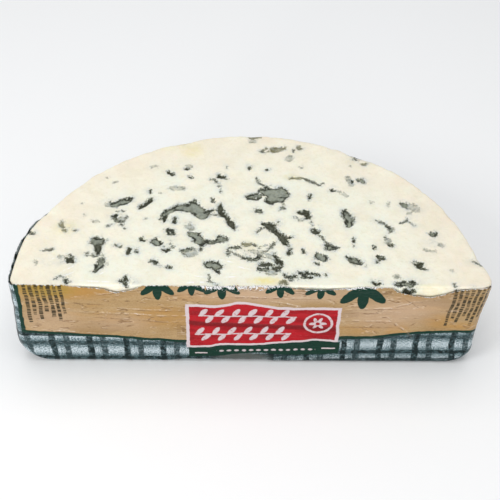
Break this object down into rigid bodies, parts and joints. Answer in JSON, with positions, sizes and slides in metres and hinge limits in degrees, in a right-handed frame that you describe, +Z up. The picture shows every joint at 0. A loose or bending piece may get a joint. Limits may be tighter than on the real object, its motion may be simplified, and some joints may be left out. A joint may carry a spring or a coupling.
{
  "type": "half-round blue cheese slab in wrapper",
  "caption": "Half-round slab of blue-veined cheese cut level at mid height, standing in a printed wrapper that covers its straight front, round side and base.",
  "frame": {"origin": "on the table under the middle of the slab (centre of the bottom of its bounding box)", "axes": "+Z up, +X along the straight cut side (to the right when facing it), +Y from the straight cut side towards the back of the round side"},
  "size_m": [0.19, 0.098, 0.0467],
  "materials": {
    "cheese_paste": null,
    "printed_foil": "thin coated foil, softly glossy, printed with a tan panel, a dark green and white check and a plain red panel, finely creased"
  },
  "bodies": {
    "root": {"cheese": "cheese_paste", "wrapper": "printed_foil"}
  },
  "joints": []
}
